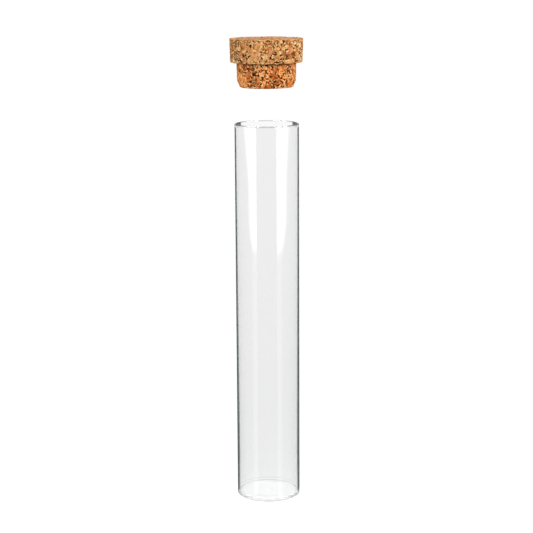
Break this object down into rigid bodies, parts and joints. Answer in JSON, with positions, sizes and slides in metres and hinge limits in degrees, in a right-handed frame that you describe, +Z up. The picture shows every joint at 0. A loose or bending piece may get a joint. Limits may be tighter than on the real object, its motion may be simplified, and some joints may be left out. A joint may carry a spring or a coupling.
{
  "type": "test tube",
  "caption": "Straight clear glass test tube with a flat base and open mouth, closed by a stepped cork stopper that lifts out along the tube's axis.",
  "frame": {"origin": "centre of the underside of the tube's flat base", "axes": "+Z up along the tube's axis, through the mouth and the stopper; +X to the right and +Y away from a viewer in front"},
  "size_m": [0.0286, 0.0286, 0.1828],
  "materials": {
    "clear_glass": "clear, polished",
    "cork_yellow_brown": "sanded agglomerated cork",
    "cork_orange_brown": "sanded agglomerated cork"
  },
  "bodies": {
    "tube": {"glass_tube": "clear_glass"},
    "stopper": {"cork_head": "cork_yellow_brown", "cork_plug": "cork_orange_brown"}
  },
  "joints": [
    {"name": "stopper_lift", "type": "slide", "parent": "tube", "child": "stopper", "axis": [0, 0, 1], "range_m": [-0.0234, 0.01]}
  ]
}
